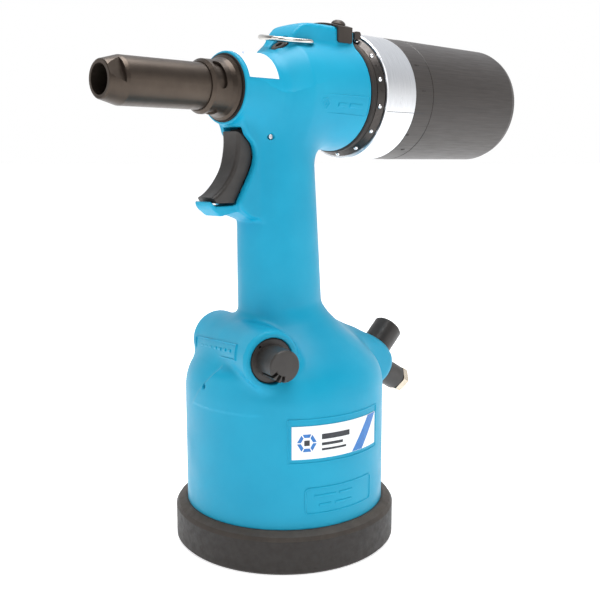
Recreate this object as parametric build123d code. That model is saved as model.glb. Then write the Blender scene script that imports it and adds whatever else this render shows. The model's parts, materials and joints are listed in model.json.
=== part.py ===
from build123d import *
import math
import os

# Hydro-pneumatic rivet gun, built piece by piece.
#
# Frame: millimetres, +Z up, +X towards the nose, origin at the centre of the rubber base's
# underside. The gun stands upright on that base with its barrel level.

# Driving dimensions of the body
BASE_R = 65.0            # rubber base, outer radius
BASE_H = 23.2            # rubber base, height to the top of its bevel
BODY_R = 58.2            # air cylinder casing, outer radius
SHOULDER_Z = 93.0        # top of the straight casing
BORE_R = 50.0            # air cylinder bore
HANDLE_X = 4.75          # handle section centre, mid height
BARREL_Z = 258.7         # height of the barrel axis
NOSE_TIP_X = 118.9       # front end of the nose casing
HEAD_REAR_X = -38.7      # rear face of the head
BOTTLE_END_X = -186.0    # rear end of the mandrel collector
BOTTLE_R = 37.0
NOSE_R = 12.0            # nose casing, outer radius
NOSE_BORE_R = 7.4        # threaded nose opening

# Driving dimensions of the drive
STROKE = 24.0            # pull stroke of the head piston
ROD_R = 11.0             # intensifier rod
HEAD_BORE_R = 19.02      # head cylinder bore
SPINDLE_R = 9.0          # hollow draw spindle
RUN_FIT = 0.05           # radial running clearance
GAP = 0.3                # clearance between bodies that don't guide each other
ANNULUS = HEAD_BORE_R**2 - SPINDLE_R**2
PISTON_RISE = STROKE * ANNULUS / ROD_R**2

# Trigger and its pilot valve
TRIGGER_W = 14.0
TRIGGER_TRAVEL = 4.5
TRIGGER_PIN_X = 22.8
TRIGGER_PIN_Z = 233.5
PILOT_Z = 219.0

# Main valve: a horizontal cross housing turned slightly towards the nose
VALVE_X = 31.7
VALVE_Z = 116.2
VALVE_TURN = 16.3        # degrees from +Y towards +X
VALVE_R = 16.3
VALVE_BORE_R = 12.4
SPOOL_SHIFT = 5.0

# Air fittings on the rear boss
UPPER_PORT = (-83.7, 101.4, 41.0)     # x, z, degrees above the horizontal
LOWER_PORT = (-95.0, 80.0, -29.6)

# Hump on the head, with the suspension ring's hole
CROWN_Z = 297.9          # top of the hump
CROWN_R = 53.0           # its crown, across the gun
HUMP_W = 18.0            # half width at the rear
RING_X = -8.4
RING_Z = 285.4
RING_WIRE_R = 1.4
HUMP_REAR_X = -40.0
SADDLE_FRONT = -24.5
SADDLE_REAR = -36.3
SADDLE_T = 1.1

# Indexing balls between the head and the collector
BALL_COUNT = 14
BALL_FIRST = -12.5       # degrees above +Y
BALL_R = 1.4
BALL_PITCH_R = 33.7
BALL_X = -44.9

# Jaws and vented plug
CONE_ANGLE = math.atan2(2.8, 19.5)
VENT_MID = 147.0         # middle of the plug's three slots, degrees


def frame(x, y, z, direction):
    """A plane whose local Z runs along direction from the point x, y, z."""
    side = (0, 1, 0) if abs(direction[1]) < 0.9 * Vector(direction).length else (0, 0, 1)
    return Plane(origin=(x, y, z), x_dir=side, z_dir=direction)


BARREL = frame(0, 0, BARREL_Z, (1, 0, 0))
BODY = Plane.XY
VALVE_DIR = (math.sin(math.radians(VALVE_TURN)), math.cos(math.radians(VALVE_TURN)), 0)
VALVE = frame(VALVE_X, 0, VALVE_Z, VALVE_DIR)


def port_frame(port):
    """The frame of an air port that leaves the boss rearwards at an angle."""
    x, z, angle = port
    a = math.radians(angle)
    return frame(x, 0, z, (-math.cos(a), 0, math.sin(a)))


UPPER = port_frame(UPPER_PORT)
LOWER = port_frame(LOWER_PORT)


def turned(plane, *points):
    """A solid turned about the plane's axis from (distance along it, radius) points."""
    outline = Polyline(*[(r, 0, t) for t, r in points], close=True)
    return plane.location * revolve(make_face(outline), Axis.Z, 360)


def tube(plane, start, end, outer, inner=0.0):
    """A plain tube or disc along the plane's axis."""
    return turned(plane, (start, inner), (end, inner), (end, outer), (start, outer))


def ring(plane, at, radius, wire):
    """A round-section ring, such as an O-ring."""
    section = Plane(origin=(radius, 0, at), x_dir=(1, 0, 0), z_dir=(0, -1, 0)) * Circle(wire)
    return plane.location * revolve(section, Axis.Z, 360)


def slab(points, half_width, plane=Plane.XZ):
    """An outline in the XZ plane, given thickness evenly to both sides of y = 0."""
    return extrude(plane * make_face(Polyline(*points, close=True)), half_width, both=True)


def coil(plane, start, length, radius, wire, turns):
    """A round-wire compression spring, its wire's middle from start to start + length."""
    path = Helix(length / turns, length, radius)
    section = Plane(origin=path @ 0, z_dir=path % 0) * Circle(wire)
    spring = sweep(section, path=path, is_frenet=True)
    return plane.location * (Pos(0, 0, start) * spring)


def save(name, shape):
    export_step(shape, f"parts/{name}.step")


# ---------------------------------------------------------------- base
def base_bumper():
    cup = turned(BODY, (0, 0), (0, BASE_R - 1.5), (1.5, BASE_R), (19.15, BASE_R),
                 (21.2, 63.6), (BASE_H, 59.6), (BASE_H, BODY_R + 0.1), (4.0, BODY_R + 0.1),
                 (4.0, 0))
    return cup


def base_cover():
    plate = tube(BODY, 6.6, 14.0, 52.3)
    plate -= tube(BODY, 9.3, 11.7, 53, 50.1)
    plate -= tube(BODY, 6.6, 8.6, 30)
    return plate


def base_circlip():
    clip = tube(BODY, 4.9, 6.4, 54.4, 48.5)
    clip -= Pos(50, 0, 5.6) * Box(12, 16, 3)
    for side in (-1, 1):
        ear = Pos(47.2, side * 11, 5.65) * Cylinder(3.2, 1.5)
        clip += ear - Pos(47.2, side * 11, 5.65) * Cylinder(1.0, 3)
    return clip


# ---------------------------------------------------------------- housing
def handle_solid():
    low = Pos(3.35, 0, 138) * Ellipse(25.9, 22.3)
    high = Pos(6.15, 0, 214) * Ellipse(23.8, 20.4)
    grip = loft([low, high])
    grip += extrude(Pos(3.35, 0, 112) * Ellipse(25.9, 22.3), 26)
    grip += extrude(Pos(6.15, 0, 214) * Ellipse(23.8, 20.4), 30)
    return grip


def shell_solid():
    """Air cylinder casing with its domed shoulder."""
    return turned(BODY, (4.3, 0), (4.3, BODY_R), (SHOULDER_Z, BODY_R), (95.5, 57.7),
                  (99.5, 56.7), (104.6, 54.8), (110.5, 50.2), (117.3, 43.2), (124, 34.8),
                  (130.5, 28.3), (135, 24.5), (139, 22.0), (139, 0))


def head_solid():
    """Head casing: neck, flared front and slowly widening barrel."""
    return turned(BARREL, (HEAD_REAR_X, 0), (HEAD_REAR_X, 32.4), (3, 28.2), (9, 24.5),
                  (14, 21.2), (18, 19.5), (41.5, 18.9), (42, 19.1), (43.2, 19.1),
                  (43.7, 18.6), (43.7, 0))


def hump_solid():
    """Hump along the head's top, wider towards the rear, with a crowned top."""
    outline = [(13.5, 272), (12.2, 280), (6.6, 284.2), (5.6, 285.6), (2.0, 291), (-2, 294.6),
               (-7, 297.0), (-12, CROWN_Z), (HUMP_REAR_X, CROWN_Z), (HUMP_REAR_X, 272)]
    hump = slab(outline, 24)
    plan = make_face(Polyline((14, -9), (14, 9), (3, 10.9), (RING_X, 13.0), (-22, HUMP_W),
                              (HUMP_REAR_X, HUMP_W), (HUMP_REAR_X, -HUMP_W), (-22, -HUMP_W),
                              (RING_X, -13.0), (3, -10.9), close=True))
    hump &= Pos(0, 0, 265) * extrude(plan, 40)
    return hump & crown(CROWN_R, 14, HUMP_REAR_X)


def crown(radius, front, rear):
    """A long round bar whose top line is at the hump's top, for crowned surfaces."""
    bar = Pos((front + rear) / 2, 0, CROWN_Z - CROWN_R) * Rot(0, 90, 0)
    return bar * Cylinder(radius, front - rear)


def boss_solid():
    """Rear boss that carries both air fittings."""
    outline = Polyline((-40, 122), (-50.5, 118.4), (-58.5, 115.2), (-72, 109.5), (-83, 102.5),
                       (-88.5, 95), (-88.5, 87.5), (-83, 80.5), (-74, 76), (-52, 70),
                       (-40, 70), close=True)
    boss = extrude(Plane.XZ * make_face(outline), 13, both=True)
    long_edges = boss.edges().filter_by(GeomType.LINE).filter_by(lambda e: e.center().X < -50)
    side_edges = [e for e in long_edges if abs(abs(e.center().Y) - 13) < 0.1]
    return fillet(side_edges, 4)


def cheeks_solid():
    """Cheeks either side of the trigger, and the finger guard below it."""
    outline = [(10, 186), (34, 190), (40, 194), (42.8, 198.0), (37.2, 207.7), (33.6, 213.3),
               (31.1, 218.9), (30.0, 224.1), (30.9, 228.2), (32.9, 230.8), (36.9, 234.6),
               (38.5, 240), (40, 246), (10, 246)]
    cheeks = slab(outline, 11.2)
    guard = [(30, 197.2), (55.3, 196.8), (59.0, 199.8), (58.8, 197.2), (57.3, 195.2),
             (52.0, 191.3), (39.5, 193.6), (30, 188)]
    return cheeks + slab(guard, 7)


def trigger_blank():
    """The finger piece: a smooth concave front, a lip at the bottom, a stepped back."""
    front = [(40.0, 236.2), (39.6, 230), (40.4, 224), (42.0, 218.2), (44.8, 213.0),
             (49.0, 207.8), (53.4, 203.9), (57.4, 201.6)]
    back = [(57.4, 201.6), (54.8, 198.4), (43.2, 198.4), (37.5, 207.8), (33.9, 213.4),
            (31.4, 219.0), (30.3, 224.1), (31.2, 228.1), (33.2, 230.7), (36.9, 234.2),
            (40.0, 236.2)]
    face = make_face(Spline(*front) + Polyline(*back))
    blank = extrude(Plane.XZ * face, TRIGGER_W / 2, both=True)
    front_edges = [e for e in blank.edges() if e.geom_type != GeomType.LINE
                   and abs(abs(e.center().Y) - TRIGGER_W / 2) < 0.1]
    return fillet(front_edges, 2.2)


def trigger_slot():
    """Space in the cheeks for the trigger's whole travel, and for its tongue."""
    back = [(19.0, 238.4), (19.0, 228.6), (25.4, 228.6), (24.6, 224.2), (25.8, 218.6),
            (28.4, 212.8), (32.0, 207.2), (37.8, 197.4), (56.2, 197.4), (58.2, 200.6),
            (60, 203), (60, 238.4)]
    space = slab(back, TRIGGER_W / 2 + 0.35)
    behind = [(14.9, 238.4), (14.9, 228.6), (30, 228.6), (30, 238.4)]
    return space + slab(behind, 6.3)


def web_solid():
    """Web under the valve housing: the casing carried straight up, cut off at a slant."""
    side = make_face(Polyline((-8.5, 92), (-3.3, 98), (6, 109), (34, 109), (34, 92), close=True))
    sector = extrude(Plane(origin=(30, 0, 0), x_dir=(0, 1, 0), z_dir=(1, 0, 0)) * side, 40)
    return sector & turned(BODY, (92, 0), (92, BODY_R), (105, BODY_R), (107.6, 57.4),
                           (109, 55.6), (109, 0))


def body_housing():
    body = shell_solid() + handle_solid() + head_solid() + hump_solid()
    body += cheeks_solid() + boss_solid() + web_solid()
    body += turned(VALVE, (-38.5, 0), (-38.5, 13.3), (-35.5, VALVE_R), (35.8, VALVE_R),
                   (37, 15.3), (37, 0))
    # air cylinder, with the circlip's groove and the gland's seat
    body -= tube(BODY, 0, 90, 52.5)
    body -= tube(BODY, 4.7, 6.6, 54.8)
    body -= tube(BODY, 89, 96.2, 22.1)
    body -= tube(BODY, 95, 103, 17.1)
    # handle tube and the oil port up into the head
    body -= tube(BODY, 102, 236, 14.1)
    body -= Pos(-3, 0, 238) * Cylinder(2.6, 14)
    # head bore and neck bore
    body -= tube(BARREL, HEAD_REAR_X - 1.5, 2.1, 24.1)
    body -= tube(BARREL, 0, 45, 15.1)
    # valve bore, trigger slot, trigger pin, pilot valve and its spring pocket
    body -= tube(VALVE, -39, 38, VALVE_BORE_R)
    body -= trigger_slot()
    body -= Pos(TRIGGER_PIN_X, 0, TRIGGER_PIN_Z) * Rot(90, 0, 0) * Cylinder(1.5, 60)
    body -= Pos(22, 0, PILOT_Z) * Rot(0, 90, 0) * Cylinder(4.5, 14.2)
    body -= tube(BARREL, HEAD_REAR_X - 5, HEAD_REAR_X, 33.4)
    body -= Pos(30, 0, 206) * Rot(0, 90, 0) * Cylinder(3.6, 14)
    # ports in the boss
    body -= tube(UPPER, -9, 30, 5.05)
    body -= tube(UPPER, -1.6, 30, 9.75)
    body -= tube(LOWER, -16, 20, 4.55)
    body -= tube(LOWER, -9.3, 20, 8.4)
    # suspension ring, bleed screw and the rivets of the saddle plate
    body -= Pos(RING_X, 0, RING_Z) * Rot(90, 0, 0) * Cylinder(RING_WIRE_R + 0.4, 60)
    body -= tube(bleed_frame(), -2.6, 12, 2.6)
    body -= tube(bleed_frame(), -0.8, 12, 5.8)
    for side in (-1, 1):
        body -= tube(rivet_frame(side), -4.2, 3, 1.55)
    return body


# ---------------------------------------------------------------- air cylinder and intensifier
def cylinder_liner():
    return tube(BODY, 14.3, 89.6, 52.4, BORE_R)


def air_piston():
    disc = tube(BODY, 16.0, 26.0, BORE_R - 0.3)
    disc -= tube(BODY, 19.0, 23.5, BORE_R + 1, BORE_R - 4.5)
    disc -= tube(BODY, 15.9, 16.8, 9.0)
    return disc - tube(BODY, 15, 27, 5.0)


def piston_lip_seal():
    return turned(BODY, (19.1, 45.6), (23.4, 45.6), (23.4, 49.2), (22.4, BORE_R - RUN_FIT),
                  (20.0, BORE_R - RUN_FIT), (19.1, 49.2))


def intensifier_rod():
    rod = tube(BODY, 26.0, 120.0, ROD_R) + tube(BODY, 119.9, 122, ROD_R - 1.5)
    return rod + tube(BODY, 14.9, 26.1, 4.95)


def rod_nut():
    nut = Pos(0, 0, 15.4) * extrude(RegularPolygon(8.5, 6), 1.2, both=True)
    return nut - tube(BODY, 14, 17, 5.0)


def rod_gland():
    gland = turned(BODY, (84.2, ROD_R + RUN_FIT), (84.2, 22), (96, 22), (96, 17), (102.8, 17),
                   (102.8, ROD_R + RUN_FIT))
    for z in (87.0, 93.0, 98.5):
        gland -= tube(BODY, z, z + 2.6, ROD_R + 2.5, ROD_R - 1)
    return gland


def rod_seals():
    seals = [tube(BODY, z + 0.1, z + 2.5, ROD_R + 2.4, ROD_R + 0.03) for z in (87.0, 93.0, 98.5)]
    return Compound(children=seals)


def intensifier_tube():
    return tube(BODY, 103.2, 234.4, 14.0, ROD_R + GAP)


# ---------------------------------------------------------------- head
def head_cylinder():
    liner = tube(BARREL, -66, 1.9, 24.0, HEAD_BORE_R)
    return liner - Pos(-3, 0, 236) * Cylinder(2.6, 12)


def front_gland():
    gland = turned(BARREL, (-1.2, 9.05), (-1.2, 18.9), (1.9, 18.9), (1.9, 15.0), (22, 15.0),
                   (22, 9.05))
    for x in (6.0, 13.0):
        gland -= tube(BARREL, x, x + 3.0, 11.6, 8.0)
    return gland


def rear_gland():
    gland = turned(BARREL, (-69.5, 9.05), (-69.5, 23.9), (-66.2, 23.9), (-66.2, 18.9),
                   (-50, 18.9), (-50, 9.05))
    for x in (-63.0, -57.0):
        gland -= tube(BARREL, x, x + 3.0, 11.6, 8.0)
    return gland


def gland_seals():
    places = (-63.0, -57.0, 6.0, 13.0)
    seals = [tube(BARREL, x + 0.1, x + 2.9, 11.5, SPINDLE_R + 0.03) for x in places]
    return Compound(children=seals)


def rear_spigot():
    """Carrier bolted behind the head: the collector turns on it."""
    return turned(BARREL, (-38.9, 24.3), (-38.9, 30.2), (-47.3, 30.2), (-47.3, 31.0),
                  (-76.0, 31.0), (-76.0, 9.8), (-69.8, 9.8), (-69.8, 24.3))


def seal_ring():
    return turned(BARREL, (-38.9, 30.4), (-38.9, 32.2), (-39.6, 33.0), (-42.6, 33.0),
                  (-43.0, 32.4), (-43.0, 30.4))


def ball_places():
    """Centres of the indexing balls round the barrel."""
    spots = []
    for k in range(BALL_COUNT):
        a = math.radians(BALL_FIRST + 360 / BALL_COUNT * k)
        spots.append((BALL_X, BALL_PITCH_R * math.cos(a), BARREL_Z + BALL_PITCH_R * math.sin(a)))
    return spots


def ball_ring():
    race = turned(BARREL, (-43.2, 30.4), (-43.2, 32.9), (-46.6, 35.2), (-47.1, 35.2),
                  (-47.1, 31.3), (-46.6, 30.4))
    pits = [Pos(*spot) * Rot(0, 90, 0) * Sphere(BALL_R + 0.05) for spot in ball_places()]
    return race - pits


def index_balls():
    return Compound(children=[Pos(*spot) * Sphere(BALL_R) for spot in ball_places()])


def head_piston():
    piston = tube(BARREL, -20, -6, HEAD_BORE_R - RUN_FIT, SPINDLE_R + 0.02)
    for x in (-17.5, -11.5):
        piston -= tube(BARREL, x, x + 3, HEAD_BORE_R + 1, 16.4)
    return piston


def head_piston_seals():
    seals = [tube(BARREL, x + 0.1, x + 2.9, HEAD_BORE_R - 0.03, 16.5) for x in (-17.5, -11.5)]
    return Compound(children=seals)


def draw_spindle():
    return tube(BARREL, -62, 62, SPINDLE_R, 5.5)


# ---------------------------------------------------------------- nose
def nose_nut():
    nut = turned(BARREL, (24.0, 12.05), (24.0, 14.9), (44.3, 14.9), (44.3, 16.8), (45.4, 16.9),
                 (46.6, 15.6), (49.2, 14.6), (52.4, 14.2), (59.2, 14.1), (60.8, 12.6),
                 (60.8, 12.05))
    for mid in (27, -93, 147):
        nut -= nut_slot(mid)
    return nut


def nut_slot(mid):
    """Round-ended slot for a hook spanner, 56 degrees long, centred at mid degrees."""
    half = 24.0
    wedge = [(0, 0)]
    for a in (mid - half, mid, mid + half):
        wedge.append((30 * math.cos(math.radians(a)), 30 * math.sin(math.radians(a))))
    across = Plane(origin=(50, 0, BARREL_Z), x_dir=(0, 1, 0), z_dir=(1, 0, 0))
    slot = tube(BARREL, 52.4, 57.6, 16, 12.9)
    slot &= extrude(across * make_face(Polyline(*wedge, close=True)), 10)
    for a in (mid - half, mid + half):
        out = (0, math.cos(math.radians(a)), math.sin(math.radians(a)))
        slot += frame(55.0, 0, BARREL_Z, out).location * (Pos(0, 0, 15.2) * Cylinder(2.5, 5))
    return slot


def nose_seal():
    return turned(BARREL, (43.8, 15.2), (43.8, 17.9), (44.25, 17.9), (44.25, 15.2))


def nose_casing():
    """Tube with a tapered tip, two spanner flats and the open nosepiece thread."""
    casing = turned(BARREL, (28, 10.6), (28, NOSE_R), (109, NOSE_R), (118.4, 9.5),
                    (NOSE_TIP_X, 9.0), (NOSE_TIP_X, NOSE_BORE_R), (101, NOSE_BORE_R),
                    (98, 10.6))
    for turn in (27, 207):
        a = math.radians(turn)
        flat = frame(115.5, 0, BARREL_Z, (0, math.cos(a), math.sin(a)))
        casing -= flat.location * (Pos(0, 0, 9.25 + 5) * Box(40, 9.0, 10))
    return casing


def jaw_housing():
    return turned(BARREL, (56, 9.05), (56, 10.2), (90.5, 10.2), (91.5, 9.2), (91.5, 6.0),
                  (72, 8.8), (62.3, 8.8), (62.3, 9.05))


def jaw(index):
    """One of three gripping jaws: a tapered sector with a toothed bore."""
    reach = 0.4
    body = turned(BARREL, (76, 2.3), (76, 8.8 - reach - 4 * math.tan(CONE_ANGLE)),
                  (89.5, 8.8 - reach - 17.5 * math.tan(CONE_ANGLE)), (89.5, 2.3))
    for k in range(9):
        body -= turned(BARREL, (77 + 1.3 * k, 2.2), (77.6 + 1.3 * k, 2.7), (78.2 + 1.3 * k, 2.2))
    sector = make_face(Polyline((0, 0), (20, 17.5), (20, -17.5), close=True))
    wedge = extrude(Plane(origin=(70, 0, BARREL_Z), x_dir=(0, 1, 0), z_dir=(1, 0, 0)) * sector, 30)
    wedge = wedge.rotate(Axis((0, 0, BARREL_Z), (1, 0, 0)), 120 * index + 30)
    return body & wedge


def jaw_spreader():
    return turned(BARREL, (70.2, 2.2), (70.2, 8.3), (72.2, 8.3), (73.0, 5.0), (75.4, 3.4),
                  (75.4, 2.2))


# ---------------------------------------------------------------- trigger
def trigger():
    finger = trigger_blank()
    finger += slab([(19.8, 237.4), (19.8, 229.6), (34, 229.6), (36, 233), (36, 234),
                    (34, 237.4)], 5.9)
    middle = TRIGGER_PIN_X + TRIGGER_TRAVEL / 2
    slot = extrude(SlotCenterToCenter(TRIGGER_TRAVEL, 3.1), 10, both=True)
    finger -= Pos(middle, 0, TRIGGER_PIN_Z) * (Rot(90, 0, 0) * slot)
    return finger - pilot_stem()


def pilot_stem():
    """Rod pressed into the trigger's back: it opens the pilot valve."""
    return Pos(26.7, 0, PILOT_Z) * Rot(0, 90, 0) * Cylinder(2.0, 13.6)


def pilot_valve_body():
    body = Pos(21.6, 0, PILOT_Z) * Rot(0, 90, 0) * Cylinder(4.45, 6.4)
    return body - Pos(22, 0, PILOT_Z) * Rot(0, 90, 0) * Cylinder(2.05, 20)


def trigger_pin():
    pin = Pos(TRIGGER_PIN_X, 0, TRIGGER_PIN_Z) * Rot(90, 0, 0) * Cylinder(1.45, 29.4)
    return chamfer(pin.edges().filter_by(GeomType.CIRCLE), 0.3)


# ---------------------------------------------------------------- main valve
def valve_sleeve():
    sleeve = tube(VALVE, -30, 21.5, 12.3, 9.05)
    for t in (-18, -4, 10):
        for k in range(4):
            hole = Rot(0, 0, 45 + 90 * k) * (Pos(11, 0, t) * (Rot(0, 90, 0) * Cylinder(2, 6)))
            sleeve -= VALVE.location * hole
    return sleeve


def valve_spool():
    return turned(VALVE, (-26, 0), (-26, 9.0), (-20, 9.0), (-19, 5.5), (-9, 5.5), (-8, 9.0),
                  (-2, 9.0), (-1, 5.5), (8, 5.5), (9, 9.0), (15, 9.0), (15, 0))


def valve_end_plug():
    plug = turned(VALVE, (-38.3, 0), (-38.3, 11.3), (-37.3, 12.3), (-30.6, 12.3), (-30.6, 0))
    return plug - VALVE.location * (Pos(0, 0, -38.3) * extrude(RegularPolygon(4.6, 6), 4, both=True))


def valve_vent_plug():
    """Vented plug that covers the silencer: a flange in the bore and a slotted knob."""
    plug = turned(VALVE, (22, 0), (22, 12.2), (35.7, 12.2), (36.3, 11.6), (36.3, 8.9),
                  (51.3, 8.6), (52, 7.9), (52, 0))
    plug -= tube(VALVE, 21, 49, 6.4)
    for k in range(3):
        a = math.radians(VENT_MID + 24 * (k - 1))
        slot = Pos(8 * math.cos(a), 8 * math.sin(a), 46) * (
            Rot(0, 0, math.degrees(a)) * Box(6, 1.7, 13))
        plug -= VALVE.location * slot
    key = math.radians(40)
    pin_hole = Pos(10.5 * math.cos(key), 10.5 * math.sin(key), 36) * Cylinder(0.75, 3)
    return plug - VALVE.location * pin_hole


def silencer_foam():
    return tube(VALVE, 25, 48.8, 6.3)


# ---------------------------------------------------------------- air fittings
def exhaust_silencer():
    """Upper black cylinder: the exhaust silencer."""
    return turned(UPPER, (-8.5, 2.8), (-8.5, 5.0), (-1.5, 5.0), (-1.5, 9.4), (-1.0, 9.6),
                  (14.6, 9.6), (15.6, 8.6), (15.6, 6.0), (14.4, 6.0), (14.4, 7.8), (0.5, 7.8),
                  (0.5, 2.8))


def exhaust_disc():
    disc = tube(UPPER, 13.2, 14.2, 7.7)
    for k in range(6):
        disc -= UPPER.location * (Rot(0, 0, 60 * k) * (Pos(4.4, 0, 13.7) * Cylinder(1.1, 3)))
    return disc


def inlet_nipple():
    return tube(LOWER, -15.5, -2.0, 4.5, 3.2)


def inlet_swivel():
    """Black body that turns on the nipple and carries the thread adaptor."""
    return turned(LOWER, (-9.0, 4.55), (-9.0, 6.9), (-7.5, 8.1), (7.8, 8.1), (8.8, 7.3),
                  (8.8, 6.65), (1.8, 6.65), (1.8, 3.2), (-1.6, 3.2), (-1.6, 4.55))


def inlet_adaptor():
    hexagon = Pos(0, 0, 9.0) * extrude(RegularPolygon(8.7, 6), 5.4)
    bevel = turned(BODY, (9.0, 0), (9.0, 8.2), (9.6, 9.0), (13.6, 9.0), (14.4, 7.9), (14.4, 0))
    nut = LOWER.location * (hexagon & bevel)
    nut += tube(LOWER, 2.0, 9.1, 6.6)
    return nut - tube(LOWER, 1, 15, INLET_THREAD_R)


INLET_THREAD_R = 5.8


# ---------------------------------------------------------------- collector
def collector_sleeve():
    return turned(BARREL, (-47.4, 31.3), (-47.4, 36.4), (-48.0, 37.0), (-73.2, 37.0),
                  (-73.2, 32.6), (-84.0, 32.6), (-84.0, 31.3))


def bottle_collar():
    return turned(BARREL, (-73.5, 33.0), (-73.5, 36.6), (-73.9, 37.0), (-89.7, 37.0),
                  (-90.0, 36.8), (-90.0, 33.0))


def collector_bottle():
    bottle = turned(BARREL, (-90.1, 33.0), (-90.1, 36.9), (-90.4, 37.1), (-177.5, 37.1),
                    (-181.5, 36.0), (-184.6, 33.2), (BOTTLE_END_X, 29.5), (BOTTLE_END_X, 0),
                    (BOTTLE_END_X + 2.6, 0), (BOTTLE_END_X + 2.6, 28.5), (-182.0, 31.6),
                    (-177.5, 34.4), (-93, 34.4))
    return bottle


# ---------------------------------------------------------------- top of the head
def bleed_frame():
    """Seat of the bleed screw, in the slope in front of the hump."""
    return frame(5.7, 4.5, 281.4, (math.sin(math.radians(35)), 0, math.cos(math.radians(35))))


def bleed_screw():
    screw = tube(bleed_frame(), -2.2, 0.2, 2.5)
    screw += turned(bleed_frame(), (0.1, 0), (0.1, 5.2), (2.5, 5.2), (3.0, 4.7), (3.0, 0))
    socket = Pos(0, 0, 1.0) * extrude(RegularPolygon(2.4, 6), 3)
    return screw - bleed_frame().location * socket


def bleed_washer():
    return tube(bleed_frame(), -0.75, 0.05, 5.4, 2.6)


def suspension_ring():
    """Wire bail: two ends in the hump's hole and a slightly twisted loop forwards."""
    x, z = RING_X, RING_Z
    path = Spline((x, 8.5, z), (x, 10.5, z), (x, 13.1, z), (x + 1.7, 15.5, z),
                  (-2.0, 15.4, z - 0.1),
                  (5.5, 12.6, z), (10.3, 6.5, z + 0.9), (11.8, 0, z + 2.0),
                  (10.3, -6.5, z + 3.2), (5.5, -12.6, z + 4.2), (-2.0, -15.3, z + 3.8),
                  (x + 1.7, -15.5, z + 0.7), (x, -13.1, z), (x, -10.5, z), (x, -8.5, z))
    section = Plane(origin=path @ 0, z_dir=path % 0) * Circle(RING_WIRE_R)
    return sweep(section, path=path, is_frenet=False)


def saddle_plate():
    """Black plate over the rear of the hump, with a tab down each side."""
    top = crown(CROWN_R + 0.05 + SADDLE_T, SADDLE_FRONT, SADDLE_REAR)
    top -= crown(CROWN_R + 0.05, SADDLE_FRONT + 1, SADDLE_REAR - 1)
    middle = (SADDLE_FRONT + SADDLE_REAR) / 2
    length = SADDLE_FRONT - SADDLE_REAR
    outer = HUMP_W + 0.05 + SADDLE_T
    top &= Pos(middle, 0, 297) * Box(length, 2 * outer, 16)
    for side in (-1, 1):
        tab = Pos(middle, side * (outer - SADDLE_T / 2), 291.0) * Box(length, SADDLE_T, 8.6)
        corners = [e for e in tab.edges().filter_by(Axis.Y) if e.center().Z < 289]
        top += fillet(corners, 1.6)
    for side in (-1, 1):
        top -= tube(rivet_frame(side), -3, 3, 1.55)
    return top


def rivet_frame(side):
    """Where a saddle rivet sits on the plate, square to the crown."""
    lean = math.asin(12.0 / (CROWN_R + SADDLE_T))
    z = CROWN_Z - CROWN_R + (CROWN_R + SADDLE_T + 0.05) * math.cos(lean)
    return frame(-32.0, side * 12.0, z, (0, side * math.sin(lean), math.cos(lean)))


def saddle_rivets():
    rivets = []
    for side in (-1, 1):
        dome = turned(rivet_frame(side), (0.02, 0), (0.02, 4.1), (0.7, 4.1), (1.7, 3.2),
                      (2.4, 1.8), (2.6, 0))
        rivets.append(dome + tube(rivet_frame(side), -4.0, 0.1, 1.5))
    return Compound(children=rivets)


def lock_block():
    """Block behind the hump, arched over the collector's seal."""
    block = Pos(-43.3, 0, 290.6) * Box(5.2, 2 * 17.0, 7.6)
    block = fillet(block.edges().filter_by(Axis.Y).group_by(Axis.Z)[-1], 1.5)
    return block - tube(BARREL, -60, -30, 35.6)


# ---------------------------------------------------------------- labels
def body_label():
    """Blank curved plate on the casing."""
    band = tube(BODY, 62.8, 81.0, BODY_R + 0.45, BODY_R + 0.05)
    return band & sector_wedge(50.5, 107.0, 60, 84)


def sector_wedge(start, end, low, high):
    """An upright wedge about the body's axis between two angles, in degrees."""
    points = [(0, 0)]
    for a in (start, (start + end) / 2, end):
        points.append((90 * math.cos(math.radians(a)), 90 * math.sin(math.radians(a))))
    return Pos(0, 0, low) * extrude(make_face(Polyline(*points, close=True)), high - low)


def neck_label():
    """Blank band over the top of the neck."""
    band = turned(BARREL, (21.0, 19.45), (41.0, 18.97), (41.0, 19.25), (21.0, 19.75))
    keep = Pos(31, 0, BARREL_Z + 14.8) * Box(30, 60, 20)
    return band & keep


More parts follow.
